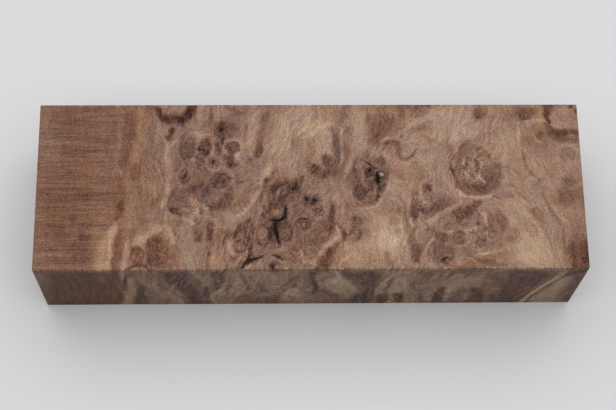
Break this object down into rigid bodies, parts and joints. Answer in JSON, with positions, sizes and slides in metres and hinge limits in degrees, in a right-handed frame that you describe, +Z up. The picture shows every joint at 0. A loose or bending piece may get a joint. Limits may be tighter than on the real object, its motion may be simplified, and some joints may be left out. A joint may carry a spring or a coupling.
{
  "type": "stabilized burl blank",
  "caption": "Rectangular sawn block of resin-stabilized burl wood with figured faces, eye clusters and small open bark pockets, ready to cut into handles or turnings.",
  "frame": {"origin": "middle of the bottom face", "axes": "+X along the block's length, +Y to its back, +Z up through its thickness"},
  "size_m": [0.13, 0.042, 0.0275],
  "materials": {
    "burl_wood": "sanded, satin, resin-stabilized"
  },
  "bodies": {
    "root": {"burl_block": "burl_wood"}
  },
  "joints": []
}
